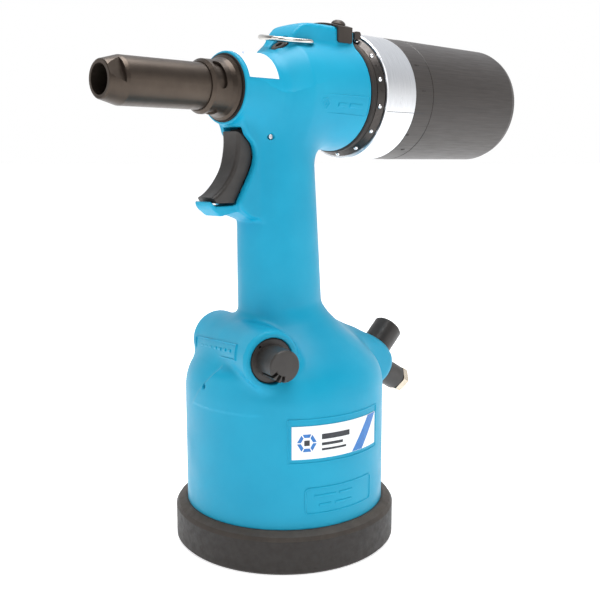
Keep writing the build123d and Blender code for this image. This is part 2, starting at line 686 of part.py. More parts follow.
def main():
    os.makedirs("parts", exist_ok=True)
    save("base_bumper", base_bumper())
    save("base_cover", base_cover())
    save("base_o_ring", ring(BODY, 10.5, 51.25, 1.1))
    save("base_circlip", base_circlip())
    save("body_housing", body_housing())
    save("cylinder_liner", cylinder_liner())
    save("air_piston", air_piston())
    save("piston_lip_seal", piston_lip_seal())
    save("intensifier_rod", intensifier_rod())
    save("rod_nut", rod_nut())
    save("rod_gland", rod_gland())
    save("rod_seals", rod_seals())
    save("intensifier_tube", intensifier_tube())
    save("head_cylinder", head_cylinder())
    save("front_gland", front_gland())
    save("rear_gland", rear_gland())
    save("gland_seals", gland_seals())
    save("rear_spigot", rear_spigot())
    save("seal_ring", seal_ring())
    save("ball_ring", ball_ring())
    save("index_balls", index_balls())
    save("head_piston", head_piston())
    save("head_piston_seals", head_piston_seals())
    save("draw_spindle", draw_spindle())
    save("return_spring", coil(BARREL, -48.4, 26.8, 13.6, 1.2, 5))
    save("nose_nut", nose_nut())
    save("nose_seal", nose_seal())
    save("nose_casing", nose_casing())
    save("jaw_housing", jaw_housing())
    for index in range(3):
        save(f"jaw_{index + 1}", jaw(index))
    save("jaw_spreader", jaw_spreader())
    save("jaw_spring", coil(BARREL, 63.2, 6.2, 6.6, 0.6, 3))
    save("trigger", trigger())
    save("trigger_pin", trigger_pin())
    save("trigger_spring", coil(frame(0, 0, 206, (1, 0, 0)), 24.0, 12.4, 2.6, 0.4, 6))
    save("pilot_stem", pilot_stem())
    save("pilot_valve_body", pilot_valve_body())
    save("valve_sleeve", valve_sleeve())
    save("valve_spool", valve_spool())
    save("valve_end_plug", valve_end_plug())
    save("valve_vent_plug", valve_vent_plug())
    save("silencer_foam", silencer_foam())
    save("exhaust_silencer", exhaust_silencer())
    save("exhaust_disc", exhaust_disc())
    save("inlet_nipple", inlet_nipple())
    save("inlet_swivel", inlet_swivel())
    save("inlet_adaptor", inlet_adaptor())
    save("collector_sleeve", collector_sleeve())
    save("bottle_collar", bottle_collar())
    save("collector_bottle", collector_bottle())
    save("bleed_screw", bleed_screw())
    save("bleed_washer", bleed_washer())
    save("suspension_ring", suspension_ring())
    save("saddle_plate", saddle_plate())
    save("saddle_rivets", saddle_rivets())
    save("lock_block", lock_block())
    save("body_label", body_label())
    save("neck_label", neck_label())
    print("piston rise", round(PISTON_RISE, 3), "for a pull of", STROKE)


main()
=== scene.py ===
"""Looks of the hydro-pneumatic rivet gun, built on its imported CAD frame. Lengths in millimetres
unless a name says otherwise; objects are written in metres."""
import json
import math
import bpy
import numpy as np
from mathutils import Matrix, Vector

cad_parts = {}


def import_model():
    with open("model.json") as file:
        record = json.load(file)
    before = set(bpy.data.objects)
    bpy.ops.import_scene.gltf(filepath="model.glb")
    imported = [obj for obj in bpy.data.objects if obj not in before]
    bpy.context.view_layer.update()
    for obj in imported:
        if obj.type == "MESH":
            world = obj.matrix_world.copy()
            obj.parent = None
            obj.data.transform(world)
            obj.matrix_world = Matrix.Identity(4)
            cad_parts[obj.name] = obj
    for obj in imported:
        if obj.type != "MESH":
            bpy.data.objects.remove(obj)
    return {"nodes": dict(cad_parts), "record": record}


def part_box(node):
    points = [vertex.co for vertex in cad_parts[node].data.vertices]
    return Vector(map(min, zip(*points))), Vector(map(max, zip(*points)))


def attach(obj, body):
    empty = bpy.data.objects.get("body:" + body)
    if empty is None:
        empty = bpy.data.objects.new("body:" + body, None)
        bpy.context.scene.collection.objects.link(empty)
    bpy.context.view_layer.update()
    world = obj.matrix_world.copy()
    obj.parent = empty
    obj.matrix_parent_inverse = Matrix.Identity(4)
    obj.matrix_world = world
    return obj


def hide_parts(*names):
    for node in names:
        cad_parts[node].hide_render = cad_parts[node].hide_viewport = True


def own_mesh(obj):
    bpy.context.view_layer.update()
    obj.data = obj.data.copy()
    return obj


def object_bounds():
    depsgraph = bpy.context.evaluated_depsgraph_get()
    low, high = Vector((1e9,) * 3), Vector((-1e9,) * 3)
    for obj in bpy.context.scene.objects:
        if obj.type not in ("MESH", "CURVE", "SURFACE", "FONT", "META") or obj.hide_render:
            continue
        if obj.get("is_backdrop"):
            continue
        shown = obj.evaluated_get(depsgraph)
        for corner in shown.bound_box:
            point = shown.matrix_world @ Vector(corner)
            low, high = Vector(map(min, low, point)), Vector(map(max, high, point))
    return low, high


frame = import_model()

NODES = frame["nodes"]
CAD_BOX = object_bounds()
H = 258.7
BODY_R = 58.2


# ------------------------------------------------------------------ node helpers
def new_material(name):
    m = bpy.data.materials.new(name)
    m.use_nodes = True
    tree = m.node_tree
    shader = next(n for n in tree.nodes if n.type == "BSDF_PRINCIPLED")
    return m, tree, shader


def node(tree, kind, **inputs):
    n = tree.nodes.new(kind)
    for key, value in inputs.items():
        if key in n.inputs:
            n.inputs[key].default_value = value
        else:
            setattr(n, key, value)
    return n


def coords(tree, scale=(1, 1, 1)):
    """Object coordinates, optionally stretched."""
    tc = node(tree, "ShaderNodeTexCoord")
    m = node(tree, "ShaderNodeMapping")
    m.inputs["Scale"].default_value = scale
    tree.links.new(tc.outputs["Object"], m.inputs["Vector"])
    return m.outputs["Vector"]


def noise(tree, scale, detail=3.0, rough=0.55, stretch=(1, 1, 1), vector=None):
    n = node(tree, "ShaderNodeTexNoise", Scale=scale, Detail=detail, Roughness=rough)
    tree.links.new(vector if vector is not None else coords(tree, stretch), n.inputs["Vector"])
    return n.outputs["Fac"]


def remap(tree, value, low, high, a=0.3, b=0.7):
    r = node(tree, "ShaderNodeMapRange")
    r.inputs["From Min"].default_value = a
    r.inputs["From Max"].default_value = b
    r.inputs["To Min"].default_value = low
    r.inputs["To Max"].default_value = high
    tree.links.new(value, r.inputs["Value"])
    return r.outputs["Result"]


def mix_colour(tree, factor, a, b):
    m = node(tree, "ShaderNodeMix", data_type="RGBA")
    m.inputs[6].default_value = (*a, 1)
    m.inputs[7].default_value = (*b, 1)
    tree.links.new(factor, m.inputs[0])
    return m.outputs[2]


def bump(tree, shader, height, strength, distance):
    b = node(tree, "ShaderNodeBump", Strength=strength, Distance=distance)
    tree.links.new(height, b.inputs["Height"])
    last = shader.inputs["Normal"].links
    if last:
        tree.links.new(last[0].from_socket, b.inputs["Normal"])
    tree.links.new(b.outputs["Normal"], shader.inputs["Normal"])


def cylinder_coords(tree, plane="x"):
    """(along the axis, angle round it) coordinates about the barrel or the body axis."""
    tc = node(tree, "ShaderNodeTexCoord")
    sep = node(tree, "ShaderNodeSeparateXYZ")
    tree.links.new(tc.outputs["Object"], sep.inputs["Vector"])
    if plane == "x":
        drop = node(tree, "ShaderNodeMath", operation="SUBTRACT")
        drop.inputs[1].default_value = H / 1000
        tree.links.new(sep.outputs["Z"], drop.inputs[0])
        first, second, along = sep.outputs["Y"], drop.outputs[0], sep.outputs["X"]
    else:
        first, second, along = sep.outputs["X"], sep.outputs["Y"], sep.outputs["Z"]
    turn = node(tree, "ShaderNodeMath", operation="ARCTAN2")
    tree.links.new(second, turn.inputs[0])
    tree.links.new(first, turn.inputs[1])
    both = node(tree, "ShaderNodeCombineXYZ")
    tree.links.new(along, both.inputs["X"])
    tree.links.new(turn.outputs[0], both.inputs["Y"])
    return both.outputs["Vector"]


def stretched(tree, vector, scale):
    m = node(tree, "ShaderNodeMapping")
    m.inputs["Scale"].default_value = scale
    tree.links.new(vector, m.inputs["Vector"])
    return m.outputs["Vector"]


# ------------------------------------------------------------------ materials
def blue_paint():
    """Cyan-blue enamel on a casting: slight mottling, orange peel, faint handling marks."""
    m, t, s = new_material("blue_paint")
    patch = noise(t, 22, 4)
    t.links.new(mix_colour(t, remap(t, patch, 0, 1), (0.003, 0.285, 0.460), (0.007, 0.330, 0.515)),
                s.inputs["Base Color"])
    t.links.new(remap(t, noise(t, 60, 5), 0.36, 0.50), s.inputs["Roughness"])
    s.inputs["Specular IOR Level"].default_value = 0.25
    bump(t, s, noise(t, 900, 2), 0.06, 0.0002)
    bump(t, s, noise(t, 140, 3), 0.05, 0.0006)
    return m


def rubber():
    m, t, s = new_material("black_rubber")
    # Painted highlight: faces that point up get a lighter colour, made patchy by a noise, standing in
    # for the sheen on the top bevel
    sheen_breakup = noise(t, 45, 6, 0.65)
    geometry = node(t, "ShaderNodeNewGeometry")
    sep = node(t, "ShaderNodeSeparateXYZ")
    t.links.new(geometry.outputs["Normal"], sep.inputs["Vector"])
    painted_top_sheen = node(t, "ShaderNodeMath", operation="MULTIPLY")
    t.links.new(remap(t, sep.outputs["Z"], 0.0, 1.0, 0.25, 0.8), painted_top_sheen.inputs[0])
    t.links.new(remap(t, sheen_breakup, 0.5, 1.0, 0.35, 0.7), painted_top_sheen.inputs[1])
    # the darker colour is the rubber's own tone; the lighter one is the painted sheen on upward faces
    t.links.new(mix_colour(t, painted_top_sheen.outputs[0], (0.017, 0.013, 0.011), (0.074, 0.058, 0.045)),
                s.inputs["Base Color"])
    t.links.new(remap(t, noise(t, 300, 3), 0.52, 0.68), s.inputs["Roughness"])
    s.inputs["Specular IOR Level"].default_value = 0.42
    bump(t, s, noise(t, 1500, 3), 0.22, 0.0003)
    return m


def plastic(name, dark, light, rough, grain=1800):
    m, t, s = new_material(name)
    t.links.new(mix_colour(t, remap(t, noise(t, 55, 5, 0.6), 0, 1), dark, light), s.inputs["Base Color"])
    t.links.new(remap(t, noise(t, 240, 4), rough - 0.06, rough + 0.08), s.inputs["Roughness"])
    s.inputs["Specular IOR Level"].default_value = 0.45
    bump(t, s, noise(t, grain, 2), 0.18, 0.00018)
    return m


def bottle_plastic():
    """Moulded black bottle: fine lengthwise drag lines and a few scuffs."""
    m, t, s = new_material("bottle_black")
    wrap = cylinder_coords(t)
    drag = noise(t, 1, 4, 0.6, vector=stretched(t, wrap, (18, 60, 1)))
    t.links.new(mix_colour(t, remap(t, drag, 0, 1), (0.020, 0.016, 0.014), (0.040, 0.032, 0.028)),
                s.inputs["Base Color"])
    t.links.new(remap(t, noise(t, 1, 5, 0.6, vector=stretched(t, wrap, (60, 30, 1))), 0.36, 0.52),
                s.inputs["Roughness"])
    s.inputs["Specular IOR Level"].default_value = 0.5
    bump(t, s, noise(t, 1600, 2), 0.12, 0.00015)
    return m


def turned_steel(name, dark, light, rough, metallic=1.0, pitch=2600):
    """Turned steel: fine tool rings across the barrel's axis."""
    m, t, s = new_material(name)
    wrap = cylinder_coords(t)
    rings = noise(t, 1, 3, 0.7, vector=stretched(t, wrap, (pitch, 1.2, 1)))
    t.links.new(mix_colour(t, remap(t, noise(t, 35, 5, 0.6), 0, 1), dark, light), s.inputs["Base Color"])
    t.links.new(remap(t, rings, rough - 0.06, rough + 0.08), s.inputs["Roughness"])
    s.inputs["Metallic"].default_value = metallic
    bump(t, s, rings, 0.10, 0.0001)
    return m


def brushed_band():
    """Circumferentially brushed aluminium."""
    m, t, s = new_material("silver_band")
    wrap = cylinder_coords(t)
    lines = noise(t, 1, 5, 0.75, vector=stretched(t, wrap, (3400, 2.5, 1)))
    broad = noise(t, 1, 3, 0.6, vector=stretched(t, wrap, (260, 1.0, 1)))
    t.links.new(mix_colour(t, remap(t, lines, 0, 1), (0.60, 0.61, 0.63), (0.86, 0.87, 0.89)),
                s.inputs["Base Color"])
    t.links.new(remap(t, broad, 0.26, 0.38), s.inputs["Roughness"])
    s.inputs["Metallic"].default_value = 1.0
    s.inputs["Anisotropic"].default_value = 0.55
    tangent = node(t, "ShaderNodeTangent", direction_type="RADIAL", axis="X")
    t.links.new(tangent.outputs[0], s.inputs["Tangent"])
    bump(t, s, lines, 0.12, 0.0001)
    return m


def bright_metal(name, colour, rough, scale=220):
    m, t, s = new_material(name)
    dull = tuple(0.82 * c for c in colour)
    t.links.new(mix_colour(t, remap(t, noise(t, scale, 4), 0, 1), dull, colour), s.inputs["Base Color"])
    t.links.new(remap(t, noise(t, scale * 3, 3), rough * 0.7, rough * 1.3), s.inputs["Roughness"])
    s.inputs["Metallic"].default_value = 1.0
    bump(t, s, noise(t, scale * 6, 2), 0.05, 0.0001)
    return m


def print_ink(name, dark, light, rough=0.35):
    m, t, s = new_material(name)
    t.links.new(mix_colour(t, remap(t, noise(t, 400, 3), 0, 1), dark, light), s.inputs["Base Color"])
    t.links.new(remap(t, noise(t, 700, 3), rough - 0.05, rough + 0.07), s.inputs["Roughness"])
    return m


MAT = {
    "blue_paint": blue_paint(),
    "black_rubber": rubber(),
    "black_plastic": plastic("black_plastic", (0.022, 0.019, 0.017), (0.036, 0.031, 0.028), 0.42),
    "bottle": bottle_plastic(),
    "black_oxide": turned_steel("black_oxide", (0.050, 0.038, 0.030), (0.085, 0.066, 0.052), 0.38, 0.85),
    "black_trim_steel": turned_steel("black_trim_steel", (0.040, 0.031, 0.026), (0.070, 0.056, 0.047),
                                     0.45, 0.6, 900),
    "ball_race": bright_metal("ball_race", (0.075, 0.068, 0.064), 0.36),
    "silver_aluminium": brushed_band(),
    "nickel": bright_metal("nickel", (0.66, 0.58, 0.47), 0.22),
    "ring_chrome": bright_metal("ring_chrome", (0.62, 0.60, 0.57), 0.12),
    "steel_ball": bright_metal("steel_ball", (0.85, 0.85, 0.86), 0.12),
    "polished_steel": bright_metal("polished_steel", (0.62, 0.62, 0.64), 0.2),
    "liner_steel": bright_metal("liner_steel", (0.38, 0.38, 0.40), 0.35),
    "cast_aluminium": bright_metal("cast_aluminium", (0.52, 0.53, 0.55), 0.42, 90),
    "spring_steel": bright_metal("spring_steel", (0.28, 0.28, 0.30), 0.3),
    "chuck_steel": bright_metal("chuck_steel", (0.22, 0.22, 0.23), 0.3),
    "washer_copper": bright_metal("washer_copper", (0.45, 0.22, 0.12), 0.35),
    "foam": plastic("foam", (0.015, 0.015, 0.016), (0.05, 0.05, 0.052), 0.9, 700),
    "white_label": print_ink("white_label", (0.84, 0.86, 0.87), (0.88, 0.90, 0.91), 0.30),
    "ink_blue": print_ink("ink_blue", (0.010, 0.13, 0.42), (0.016, 0.18, 0.52)),
    "ink_dark": print_ink("ink_dark", (0.010, 0.012, 0.018), (0.022, 0.026, 0.034)),
}


# ------------------------------------------------------------------ mesh helpers
def add_mesh(name, verts_mm, faces, material, body, smooth=True, angle=35):
    mesh = bpy.data.meshes.new(name)
    mesh.from_pydata([tuple(float(c) / 1000 for c in v) for v in verts_mm], [], faces)
    mesh.update()
    obj = bpy.data.objects.new(name, mesh)
    bpy.context.scene.collection.objects.link(obj)
    mesh.materials.append(MAT[material])
    if smooth:
        mesh.shade_smooth()
        mesh.set_sharp_from_angle(angle=math.radians(angle))
    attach(obj, body)
    return obj


def bevel(obj, width_mm, segments=3, angle=35):
    b = obj.modifiers.new("edge", "BEVEL")
    b.width = width_mm / 1000
    b.segments = segments
    b.limit_method = "ANGLE"
    b.angle_limit = math.radians(angle)
    b.harden_normals = True
    return obj


# ------------------------------------------------------------------ distance fields
def smin(a, b, k):
    h = np.maximum(k - np.abs(a - b), 0) / k
    return np.minimum(a, b) - h * h * k * 0.25


def smax(a, b, k):
    return -smin(-a, -b, k)


def exact(px, py, pts):
    """Signed distance to a closed polygon, negative inside."""
    dist = np.full(px.shape, 1e9, np.float32)
    inside = np.zeros(px.shape, bool)
    for i in range(len(pts)):
        ax, ay = pts[i - 1]
        bx, by = pts[i]
        ex, ey = bx - ax, by - ay
        wx, wy = px - ax, py - ay
        t = np.clip((wx * ex + wy * ey) / (ex * ex + ey * ey), 0, 1)
        dist = np.minimum(dist, (wx - ex * t) ** 2 + (wy - ey * t) ** 2)
        if ay != by:
            crosses = (ay > py) != (by > py)
            inside ^= crosses & (px < ex * (py - ay) / ey + ax)
    dist = np.sqrt(dist)
    return np.where(inside, -dist, dist)


class Outline:
    """A closed outline whose signed distance is sampled once and then interpolated."""
    pitch = 0.3

    def __init__(self, pts, margin=34):
        self.low = np.array(pts, float).min(0) - margin
        high = np.array(pts, float).max(0) + margin
        self.count = np.ceil((high - self.low) / self.pitch).astype(int) + 1
        u = self.low[0] + self.pitch * np.arange(self.count[0])
        v = self.low[1] + self.pitch * np.arange(self.count[1])
        uu, vv = np.meshgrid(u, v, indexing="ij")
        self.table = exact(uu.ravel(), vv.ravel(), pts).reshape(uu.shape).astype(np.float32)

    def at(self, u, v):
        fu = np.clip((u - self.low[0]) / self.pitch, 0, self.count[0] - 1.001)
        fv = np.clip((v - self.low[1]) / self.pitch, 0, self.count[1] - 1.001)
        i, j = fu.astype(np.int32), fv.astype(np.int32)
        fu, fv = fu - i, fv - j
        t = self.table
        return ((t[i, j] * (1 - fu) + t[i + 1, j] * fu) * (1 - fv)
                + (t[i, j + 1] * (1 - fu) + t[i + 1, j + 1] * fu) * fv)


def polygon(px, py, outline):
    return outline.at(px, py)


def soft(pts, r, steps=4):
    """The polygon with each corner rounded off by up to r."""
    out = []
    n = len(pts)
    for i in range(n):
        a, p, b = (np.array(pts[(i + k) % n], float) for k in (-1, 0, 1))
        la, lb = np.linalg.norm(a - p), np.linalg.norm(b - p)
        c = min(r, 0.45 * la, 0.45 * lb)
        s, e = p + (a - p) / la * c, p + (b - p) / lb * c
        for j in range(steps + 1):
            u = j / steps
            out.append(tuple((1 - u) ** 2 * s + 2 * u * (1 - u) * p + u * u * e))
    return out


def axis_tube(x, y, z, origin, direction):
    """Distance along an axis and away from it."""
    o, d = np.array(origin, float), np.array(direction, float)
    d /= np.linalg.norm(d)
    t = (x - o[0]) * d[0] + (y - o[1]) * d[1] + (z - o[2]) * d[2]
    r2 = (x - o[0]) ** 2 + (y - o[1]) ** 2 + (z - o[2]) ** 2 - t * t
    return t, np.sqrt(np.maximum(r2, 0))


def rod(x, y, z, origin, direction, start, end, radius):
    t, r = axis_tube(x, y, z, origin, direction)
    return np.maximum(np.maximum(start - t, t - end), r - radius)


SHELL = Outline(soft([(-60, 4.3), (58.2, 4.3), (58.2, 93.5), (57.0, 99.5), (54.8, 104.6), (50.2, 110.6),
              (43.2, 117.3), (34.8, 124.0), (28.3, 130.5), (22.0, 137.0), (-60, 137.0)], 5))
HEAD = Outline(soft([(HX, R) for HX, R in ((-38.7, -60), (-38.7, 32.4), (3.0, 28.3), (8.5, 24.9),
                                   (14.0, 21.2), (18.6, 19.5), (41.6, 18.9), (42.0, 19.15),
                                   (43.3, 19.15), (43.7, 18.7), (43.7, -60))], 1.2))
HUMP = Outline(soft([(13.5, 268), (12.4, 280), (6.9, 284.2), (5.6, 285.8), (2.0, 291), (-2, 294.6),
                     (-7, 297.0),
             (-12, 297.9), (-39.9, 297.9), (-39.9, 268)], 2.2))
HUMP_PLAN = Outline(soft([(15, -8.6), (15, 8.6), (3, 10.9), (-8.4, 13.0), (-15, 14.6), (-20, 16.4),
                  (-23.5, 17.9), (-39.9, 17.9), (-39.9, -17.9), (-23.5, -17.9), (-20, -16.4),
                  (-15, -14.6), (-8.4, -13.0), (3, -10.9)], 3))
BOSS = Outline(soft([(-30, 121), (-50.5, 118.4), (-58.5, 115.2), (-72, 109.5), (-82, 103), (-88, 95.5),
             (-88.3, 88), (-83.5, 81), (-74, 76), (-52, 70), (-30, 72)], 6))
CHEEK = Outline(soft([(10, 186), (34, 190), (40, 194), (42.8, 198.0), (37.2, 207.7), (33.6, 213.3),
              (31.1, 218.9), (30.0, 224.1), (30.9, 228.2), (32.9, 230.8), (36.9, 234.6),
              (38.5, 240), (40, 246), (10, 246)], 1.5))
GUARD = Outline(soft([(30, 197.2), (55.3, 196.8), (59.0, 199.8), (58.8, 197.2), (57.3, 195.2),
                      (52.0, 191.3), (39.5, 193.6), (30, 188)], 1.0))
SLOT = Outline([(19.0, 238.4), (19.0, 228.6), (25.4, 228.6), (24.6, 224.2), (25.8, 218.6), (28.4, 212.8),
        (32.0, 207.2), (37.8, 197.4), (56.2, 197.4), (58.2, 200.6), (62, 203),
        (62, 238.4)])
VALVE = Outline([(-38.5, -60), (-38.5, 13.3), (-37.6, 14.8), (-35.5, 16.3), (35.2, 16.3),
                 (36.4, 15.7), (37, 14.6), (37, -60)])
V_TURN = math.radians(16.3)
V_DIR = (math.sin(V_TURN), math.cos(V_TURN), 0)
V_AT = (31.7, 0, 116.2)
UP_A = math.radians(41.0)
UP_DIR = (-math.cos(UP_A), 0, math.sin(UP_A))
UP_AT = (-83.7, 0, 101.4)
LOW_A = math.radians(-29.6)
LOW_DIR = (-math.cos(LOW_A), 0, math.sin(LOW_A))
LOW_AT = (-95.0, 0, 80.0)
BLEED_AT = (5.7, 4.5, 281.4)
BLEED_DIR = (math.sin(math.radians(35)), 0, math.cos(math.radians(35)))


def grip(x, y, z):
    """Oval grip that narrows slightly and leans forwards as it rises."""
    u = np.clip((z - 138) / 76, -0.6, 1.4)
    cx, a, b = 3.35 + 2.8 * u, 25.9 - 2.1 * u, 22.3 - 1.9 * u
    px, py = (x - cx), y
    k0 = np.sqrt((px / a) ** 2 + (py / b) ** 2)
    k1 = np.sqrt((px / a ** 2) ** 2 + (py / b ** 2) ** 2) + 1e-6
    side = k0 * (k0 - 1) / k1
    return np.maximum(side, np.maximum(100 - z, z - 252))


def web(x, y, z):
    """The casing carried straight up under the valve housing, cut off at a slant in front."""
    r = np.hypot(x, y) - 57.5
    slant = -(0.764 * (y + 3.3) - 0.646 * (z - 98))
    body = smax(smax(r, z - 109, 7), slant, 0.8)
    return smax(np.maximum(body, 88 - z), np.maximum(y - 34, 30 - x), 8)


def housing(p):
    """Signed distance to the casting, in millimetres."""
    x, y, z = p[:, 0], p[:, 1], p[:, 2]
    rz = np.hypot(x, y)
    rx = np.hypot(y, z - H)
    d = smin(polygon(rz, z, SHELL), grip(x, y, z), 5)
    d = smin(d, polygon(x, rx, HEAD), 14)
    tv, rv = axis_tube(x, y, z, V_AT, V_DIR)
    valve = polygon(tv, rv, VALVE)
    d = smin(d, valve, 5)
    boss = smax(polygon(x, z, BOSS), np.abs(y) - 13, 7)
    d = smin(d, boss, 12)
    d = smin(d, web(x, y, z), 3)
    cheek = smax(polygon(x, z, CHEEK), np.abs(y) - 11.2, 2.0)
    d = smin(d, cheek, 3)
    d = smin(d, smax(polygon(x, z, GUARD), np.abs(y) - 7, 1.2), 2.0)
    crown = np.hypot(y, z - (297.9 - 53.0)) - 53.0
    hump = smax(polygon(x, z, HUMP), polygon(x, y, HUMP_PLAN), 2.2)
    hump = smax(hump, crown, 2.5)
    d = smin(d, hump, 2.5)
    return cuts(d, x, y, z, rz, rx)


def cuts(d, x, y, z, rz, rx):
    """Bores, slots and seats taken out of the casting."""
    d = smax(d, -np.maximum(rz - 52.5, z - 90), 0.3)
    d = smax(d, -np.maximum(rz - 54.8, np.abs(z - 5.65) - 0.95), 0.2)
    d = smax(d, -np.maximum(rz - 22.1, np.abs(z - 92) - 4.2), 0.2)
    d = smax(d, -np.maximum(rz - 17.1, np.abs(z - 98) - 5), 0.2)
    d = smax(d, -np.maximum(rz - 14.1, np.abs(z - 169) - 67), 0.2)
    d = smax(d, -np.maximum(np.hypot(x + 3, y) - 2.6, np.abs(z - 238) - 7), 0.2)
    d = smax(d, -np.maximum(rx - 24.1, np.abs(x + 19) - 21.1), 0.3)
    d = smax(d, -np.maximum(rx - 15.1, np.abs(x - 23) - 22), 0.5)
    d = smax(d, -rod(x, y, z, V_AT, V_DIR, -39.5, 38.5, 12.4), 0.8)
    slot = np.maximum(polygon(x, z, SLOT), np.abs(y) - 7.35)
    d = smax(d, -slot, 0.5)
    tail = np.maximum(np.abs(x - 22.5) - 7.6, np.maximum(np.abs(z - 233.5) - 4.9, np.abs(y) - 6.3))
    d = smax(d, -tail, 0.2)
    d = smax(d, -np.maximum(np.hypot(x - 22.8, z - 233.5) - 1.55, np.abs(y) - 30), 0.3)
    d = smax(d, -np.maximum(np.hypot(y, z - 219) - 4.5, np.abs(x - 22) - 7.1), 0.2)
    d = smax(d, -np.maximum(np.hypot(y, z - 206) - 3.6, np.abs(x - 30) - 7), 0.2)
    d = smax(d, -np.maximum(rx - 33.4, np.abs(x + 41.2) - 2.5), 0.3)
    d = smax(d, -rod(x, y, z, UP_AT, UP_DIR, -9, 30, 5.05), 0.2)
    d = smax(d, -rod(x, y, z, UP_AT, UP_DIR, -1.6, 30, 9.75), 0.5)
    d = smax(d, -rod(x, y, z, LOW_AT, LOW_DIR, -16, 20, 4.55), 0.2)
    d = smax(d, -rod(x, y, z, LOW_AT, LOW_DIR, -9.3, 20, 8.5), 0.5)
    d = smax(d, -np.maximum(np.hypot(x + 8.4, z - 285.4) - 1.8, np.abs(y) - 30), 0.6)
    d = smax(d, -rod(x, y, z, BLEED_AT, BLEED_DIR, -2.6, 12, 2.6), 0.2)
    d = smax(d, -rod(x, y, z, BLEED_AT, BLEED_DIR, -0.8, 12, 5.8), 0.6)
    lean = math.asin(12.0 / 54.1)
    for side in (-1, 1):
        way = (0, side * math.sin(lean), math.cos(lean))
        at = (-32.0, side * 12.0, 244.9 + 54.15 * math.cos(lean))
        d = smax(d, -rod(x, y, z, at, way, -4.2, 3, 1.6), 0.1)
    d = smax(d, -rod(x, y, z, (58.9, -3.3, 98.0), (-1, 0.05, 0), -3.5, 3.2, 1.5), 0.3)
    return d


def surface(field, low, high, step):
    """Closed mesh of a distance field: surface nets on a narrow band, snapped to the surface."""
    low = np.array(low, float)
    block = 8
    n = np.ceil((np.array(high) - low) / step / block).astype(int) * block
    grid = np.ones(n + 1, np.float32)
    size = block * step
    bi = np.stack(np.meshgrid(*[np.arange(k // block) for k in n], indexing="ij"), -1).reshape(-1, 3)
    centres = low + (bi + 0.5) * size
    d = field(centres)
    reach = size * 0.87 + 2.5
    for b, v in zip(bi[d < -reach], d[d < -reach]):
        i, j, k = b * block
        grid[i:i + block + 1, j:j + block + 1, k:k + block + 1] = -1
    near = bi[np.abs(d) <= reach]
    off = np.stack(np.meshgrid(*[np.arange(block + 1)] * 3, indexing="ij"), -1).reshape(-1, 3)
    for start in range(0, len(near), 3000):
        part = near[start:start + 3000]
        idx = (part[:, None, :] * block + off[None]).reshape(-1, 3)
        grid[idx[:, 0], idx[:, 1], idx[:, 2]] = field(low + idx * step)
    return nets(field, grid, low, step)


def nets(field, grid, low, step):
    inside = grid < 0
    nx, ny, nz = grid.shape
    corners = [(i, j, k) for i in (0, 1) for j in (0, 1) for k in (0, 1)]
    view = lambda a, c: a[c[0]:nx - 1 + c[0], c[1]:ny - 1 + c[1], c[2]:nz - 1 + c[2]]
    total = sum(view(inside, c).astype(np.int8) for c in corners)
    cells = np.argwhere((total > 0) & (total < 8))
    ids = np.full((nx - 1, ny - 1, nz - 1), -1, np.int32)
    ids[cells[:, 0], cells[:, 1], cells[:, 2]] = np.arange(len(cells))
    val = {c: grid[cells[:, 0] + c[0], cells[:, 1] + c[1], cells[:, 2] + c[2]] for c in corners}
    acc = np.zeros((len(cells), 3))
    count = np.zeros(len(cells))
    for a in corners:
        for ax in range(3):
            if a[ax]:
                continue
            b = tuple(a[i] + (i == ax) for i in range(3))
            va, vb = val[a], val[b]
            hit = (va < 0) != (vb < 0)
            t = np.where(hit, va / np.where(hit, va - vb, 1), 0)
            p = np.array(a, float) + np.outer(t, np.eye(3)[ax])
            acc[hit] += p[hit]
            count[hit] += 1
    verts = low + (cells + acc / count[:, None]) * step
    for _ in range(3):
        g = gradient(field, verts)
        move = np.clip(field(verts), -step, step)
        verts -= g * move[:, None] * 0.9
    return verts, net_faces(inside, ids), gradient(field, verts)


def net_faces(inside, ids):
    """One quad for every grid edge that crosses the surface."""
    quads = []
    for ax in range(3):
        b, c = (ax + 1) % 3, (ax + 2) % 3
        first = [slice(None)] * 3
        second = [slice(None)] * 3
        first[ax], second[ax] = slice(0, -1), slice(1, None)
        change = inside[tuple(first)] != inside[tuple(second)]
        e = np.argwhere(change)
        ok = (e[:, b] > 0) & (e[:, c] > 0) & (e[:, b] < ids.shape[b]) & (e[:, c] < ids.shape[c])
        e = e[ok]
        flip = inside[tuple(first)][e[:, 0], e[:, 1], e[:, 2]]
        ring = []
        for db, dc in ((-1, -1), (0, -1), (0, 0), (-1, 0)):
            q = e.copy()
            q[:, b] += db
            q[:, c] += dc
            ring.append(ids[q[:, 0], q[:, 1], q[:, 2]])
        ring = np.stack(ring, 1)
        ring[~flip] = ring[~flip][:, ::-1]
        quads.append(ring)
    quads = np.concatenate(quads)
    return quads[(quads >= 0).all(1)]


def gradient(field, p, eps=0.12):
    g = np.zeros(p.shape)
    for ax in range(3):
        step = np.zeros(3)
        step[ax] = eps
        g[:, ax] = field(p + step) - field(p - step)
    return g / np.maximum(np.linalg.norm(g, axis=1), 1e-9)[:, None]


